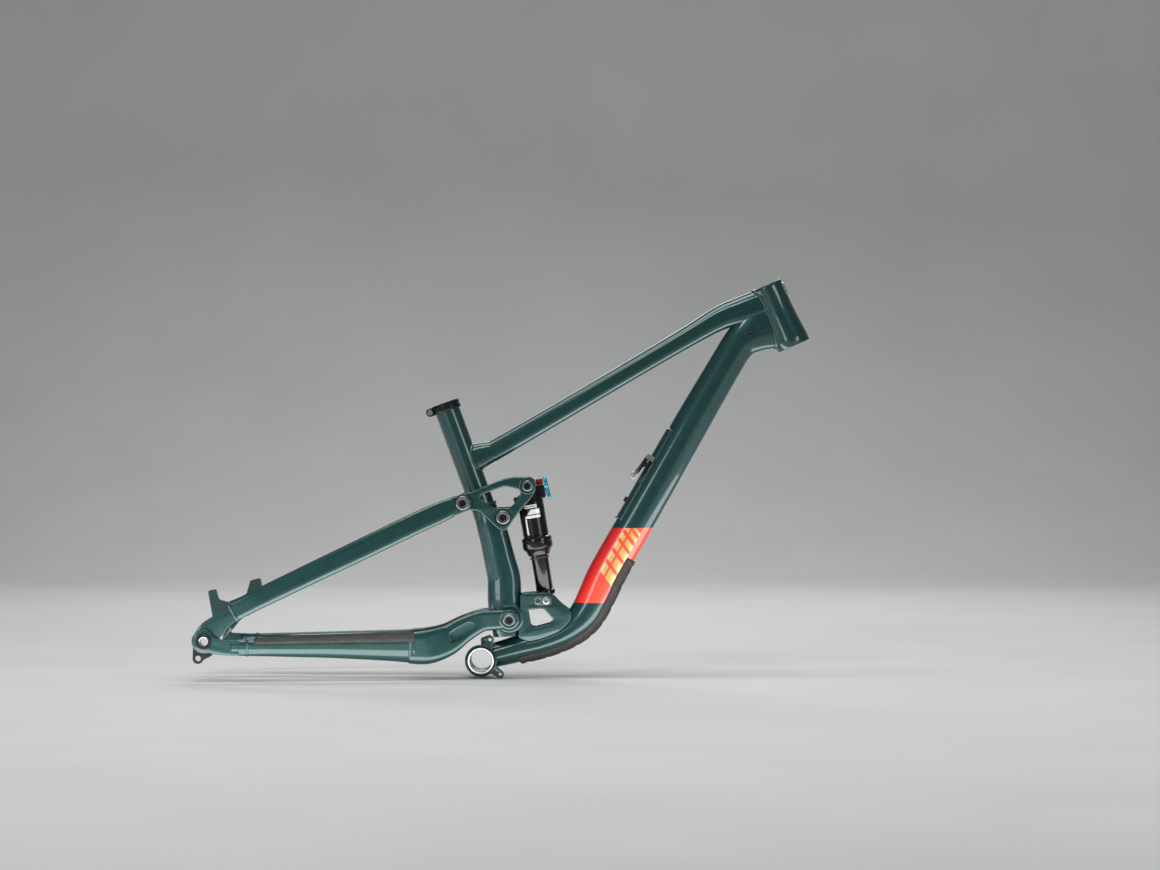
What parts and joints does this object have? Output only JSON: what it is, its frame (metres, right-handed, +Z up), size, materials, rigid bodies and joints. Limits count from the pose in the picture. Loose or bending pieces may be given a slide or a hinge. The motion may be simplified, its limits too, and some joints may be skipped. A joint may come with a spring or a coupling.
{
  "type": "bicycle frame",
  "caption": "Full-suspension trail bicycle frame: welded front triangle with a storage door, chainstay and seatstay assemblies, a rocker link and an air shock.",
  "frame": {"origin": "centre of the bottom bracket shell, on the frame's middle plane", "axes": "+X forward, +Y to the rider's left (the side without the chain), +Z up"},
  "size_m": [0.9779, 0.1772, 0.6363],
  "materials": {
    "frame_paint": "gloss metallic",
    "raw_alloy": "machined",
    "black_alloy": "satin anodised",
    "grey_alloy": "satin anodised",
    "steel": "polished",
    "rubber": "matte",
    "black_plastic": "matte",
    "blue_anodised": "satin anodised",
    "red_anodised": "satin anodised",
    "can_black": "gloss anodised"
  },
  "bodies": {
    "front_triangle": {"head_tube": "frame_paint", "head_badge": "steel", "top_tube": "frame_paint", "down_tube": "frame_paint", "seat_tube": "frame_paint", "seat_tube_forging": "frame_paint", "bb_shell": "frame_paint", "chain_guide_tabs": "frame_paint", "main_pivot_housing": "frame_paint", "main_pivot_bearings": "steel", "rocker_pivot_housing": "frame_paint", "rocker_pivot_axle": "black_alloy", "shock_mount_plates": "frame_paint", "flip_chips": "grey_alloy", "lower_shock_bolt": "steel", "seat_clamp": "black_alloy", "seat_clamp_bolt": "black_alloy", "down_tube_guard": "rubber", "cable_ports": "black_plastic", "cable_guide": "black_plastic"},
    "storage_door": {"storage_door": "frame_paint", "door_hinge_pin": "steel", "bottle_bolts": "black_alloy", "latch_bracket": "steel"},
    "door_latch": {"door_latch": "raw_alloy"},
    "chainstay": {"yoke_right": "frame_paint", "yoke_left": "frame_paint", "yoke_bosses": "frame_paint", "yoke_bridge": "frame_paint", "chainstay_right": "frame_paint", "chainstay_left": "frame_paint", "chainstay_dropouts": "frame_paint", "derailleur_hanger": "black_alloy", "chainstay_guard": "rubber", "main_pivot_axle": "black_alloy", "axle_pivot_nuts": "black_alloy"},
    "seatstay": {"seatstay_right": "frame_paint", "seatstay_left": "frame_paint", "seatstay_lugs": "frame_paint", "seatstay_bridge": "frame_paint", "seatstay_dropouts": "frame_paint", "axle_pivot_bearings": "steel", "brake_mount": "frame_paint", "seatstay_pivot_bolts": "black_alloy"},
    "rocker": {"rocker_link": "frame_paint", "rocker_bearings": "steel", "seatstay_pivot_bearings": "steel", "upper_shock_bolt": "black_alloy", "upper_shock_spacers": "grey_alloy"},
    "shock_body": {"damper_body": "can_black", "lower_eyelet": "can_black", "lower_shock_bushing": "grey_alloy", "air_piston": "grey_alloy"},
    "shock_can": {"air_can": "can_black", "can_collar": "can_black", "shock_head": "black_alloy", "air_valve": "black_plastic", "travel_ring": "rubber"},
    "compression_lever": {"compression_lever": "blue_anodised"},
    "rebound_knob": {"rebound_knob": "red_anodised"}
  },
  "joints": [
    {"name": "main_pivot", "type": "hinge", "parent": "front_triangle", "child": "chainstay", "pos_m": [0.0451, 0, 0.0657], "axis": [0, 1, 0], "range_deg": [0, 14.4]},
    {"name": "axle_pivot", "type": "hinge", "parent": "chainstay", "child": "seatstay", "pos_m": [-0.4341, 0, 0.0343], "axis": [0, 1, 0], "range_deg": [-3.65, 0]},
    {"name": "rocker_pivot", "type": "hinge", "parent": "front_triangle", "child": "rocker", "pos_m": [0.0355, 0, 0.2281], "axis": [0, 1, 0], "range_deg": [0, 50.26]},
    {"name": "shock_lower_pivot", "type": "hinge", "parent": "front_triangle", "child": "shock_body", "pos_m": [0.1039, 0, 0.0956], "axis": [0, 1, 0], "range_deg": [0, 7.07]},
    {"name": "shock_stroke", "type": "slide", "parent": "shock_body", "child": "shock_can", "axis": [0.1616, 0, -0.9869], "range_m": [0, 0.05]},
    {"name": "compression_lever_turn", "type": "hinge", "parent": "shock_can", "child": "compression_lever", "pos_m": [0.1007, 0, 0.27852], "axis": [0.9869, 0, 0.1616], "range_deg": [0, 90]},
    {"name": "rebound_knob_turn", "type": "hinge", "parent": "shock_can", "child": "rebound_knob", "pos_m": [0.09324, 0, 0.28135], "axis": [-0.1616, 0, 0.9869], "range_deg": [0, 300]},
    {"name": "storage_door_hinge", "type": "hinge", "parent": "front_triangle", "child": "storage_door", "pos_m": [0.215, 0, 0.2276], "axis": [0, -1, 0], "range_deg": [0, 60]},
    {"name": "door_latch_pivot", "type": "hinge", "parent": "storage_door", "child": "door_latch", "pos_m": [0.26654, 0, 0.32415], "axis": [0, 1, 0], "range_deg": [0, 80]}
  ],
  "couplings": [
    {"joint": "axle_pivot", "follows": "main_pivot", "ratio": -0.2528},
    {"joint": "rocker_pivot", "follows": "main_pivot", "ratio": 3.4898},
    {"joint": "shock_lower_pivot", "follows": "main_pivot", "ratio": 0.4908},
    {"joint": "shock_stroke", "follows": "main_pivot", "m_per_rad": 0.1989}
  ]
}
